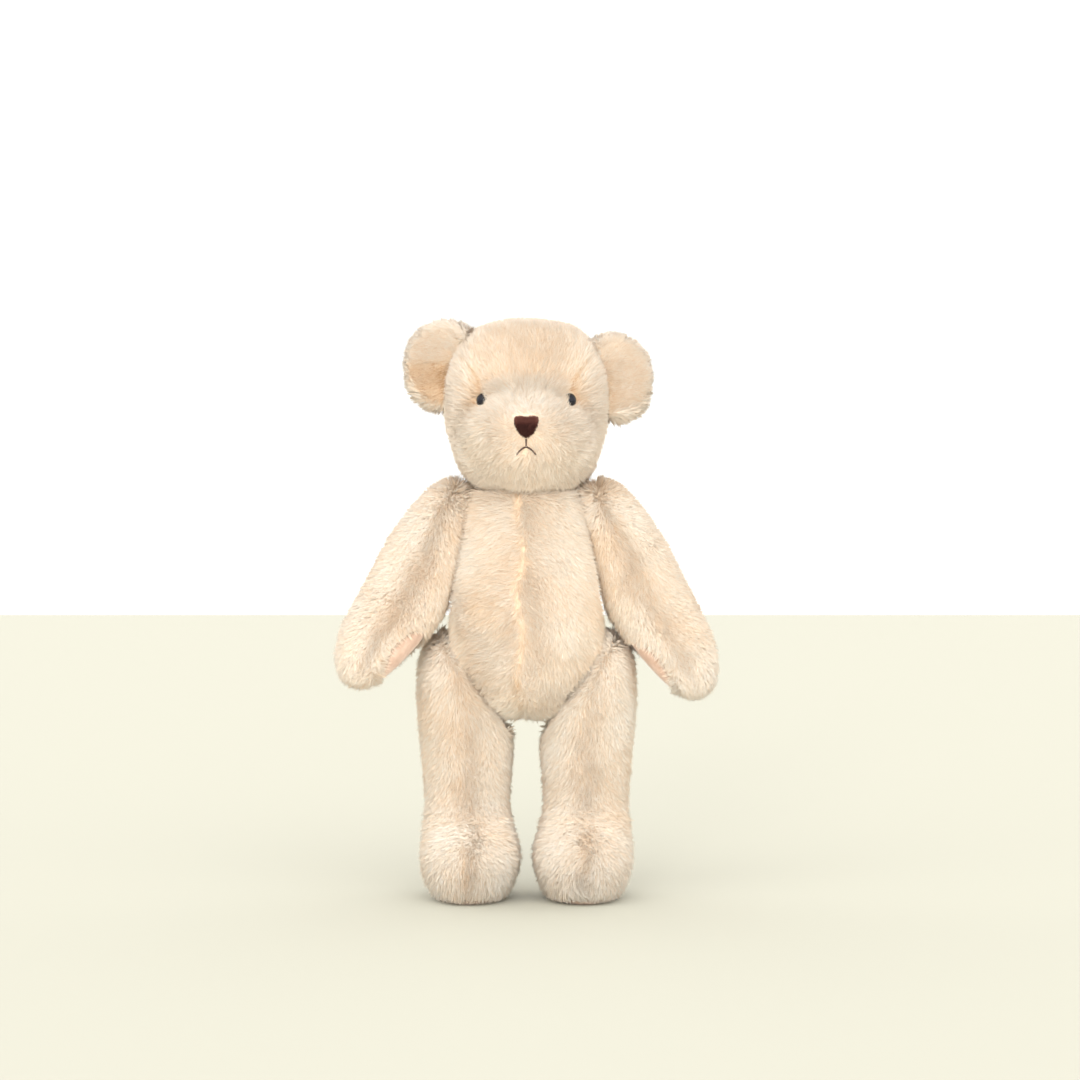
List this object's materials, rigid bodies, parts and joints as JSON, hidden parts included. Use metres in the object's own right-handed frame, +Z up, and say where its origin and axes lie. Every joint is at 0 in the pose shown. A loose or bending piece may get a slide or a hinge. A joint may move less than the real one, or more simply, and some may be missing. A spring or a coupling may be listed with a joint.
{
  "type": "jointed teddy bear",
  "caption": "Standing plush teddy bear with disc joints at the neck, shoulders and hips, domed eyes, a shield-shaped nose and suede paw and foot pads.",
  "frame": {"origin": "under the middle of the standing bear, on the surface that its feet rest on", "axes": "+Z up, -Y the way the bear faces, +X to the bear's left"},
  "size_m": [0.2586, 0.128, 0.397],
  "materials": {
    "plush": "matte",
    "stuffing": "matte",
    "suede": "matte",
    "joint_plastic": "satin",
    "eye_plastic": "gloss",
    "nose_cloth": "matte",
    "mouth_thread": "satin"
  },
  "bodies": {
    "torso": {"torso_front_left": "plush", "torso_front_right": "plush", "torso_back_left": "plush", "torso_back_right": "plush", "torso_stuffing": "stuffing", "neck_body_disc": "joint_plastic", "left_shoulder_body_disc": "joint_plastic", "right_shoulder_body_disc": "joint_plastic", "left_hip_body_disc": "joint_plastic", "right_hip_body_disc": "joint_plastic"},
    "head": {"forehead_gusset": "plush", "muzzle_gusset": "plush", "head_left_side": "plush", "head_right_side": "plush", "head_stuffing": "stuffing", "left_ear_front": "plush", "left_ear_back": "plush", "right_ear_front": "plush", "right_ear_back": "plush", "left_eye": "eye_plastic", "right_eye": "eye_plastic", "left_eye_washer": "joint_plastic", "right_eye_washer": "joint_plastic", "nose": "nose_cloth", "mouth_stitches": "mouth_thread", "neck_joint_disc": "joint_plastic", "neck_lock_washer": "joint_plastic"},
    "left_arm": {"left_arm_outer": "plush", "left_arm_inner": "plush", "left_paw_pad": "suede", "left_arm_stuffing": "stuffing", "left_shoulder_joint_disc": "joint_plastic", "left_shoulder_lock_washer": "joint_plastic"},
    "left_leg": {"left_leg_outer": "plush", "left_leg_inner": "plush", "left_foot_pad": "suede", "left_leg_stuffing": "stuffing", "left_hip_joint_disc": "joint_plastic", "left_hip_lock_washer": "joint_plastic"},
    "right_arm": {"right_arm_outer": "plush", "right_arm_inner": "plush", "right_paw_pad": "suede", "right_arm_stuffing": "stuffing", "right_shoulder_joint_disc": "joint_plastic", "right_shoulder_lock_washer": "joint_plastic"},
    "right_leg": {"right_leg_outer": "plush", "right_leg_inner": "plush", "right_foot_pad": "suede", "right_leg_stuffing": "stuffing", "right_hip_joint_disc": "joint_plastic", "right_hip_lock_washer": "joint_plastic"}
  },
  "joints": [
    {"name": "neck_turn", "type": "hinge", "parent": "torso", "child": "head", "pos_m": [0, 0.012, 0.283], "axis": [0, 0, 1], "continuous": true},
    {"name": "left_shoulder_swing", "type": "hinge", "parent": "torso", "child": "left_arm", "pos_m": [0.0432, 0.012, 0.2445], "axis": [-0.9781, 0, -0.2079], "range_deg": [-55, 115]},
    {"name": "right_shoulder_swing", "type": "hinge", "parent": "torso", "child": "right_arm", "pos_m": [-0.0432, 0.012, 0.2445], "axis": [-0.9781, 0, 0.2079], "range_deg": [-70, 100]},
    {"name": "left_hip_swing", "type": "hinge", "parent": "torso", "child": "left_leg", "pos_m": [0.0375, 0.012, 0.155], "axis": [-0.829, 0, 0.5592], "range_deg": [-30, 90]},
    {"name": "right_hip_swing", "type": "hinge", "parent": "torso", "child": "right_leg", "pos_m": [-0.0375, 0.012, 0.155], "axis": [-0.829, 0, -0.5592], "range_deg": [-30, 90]}
  ]
}
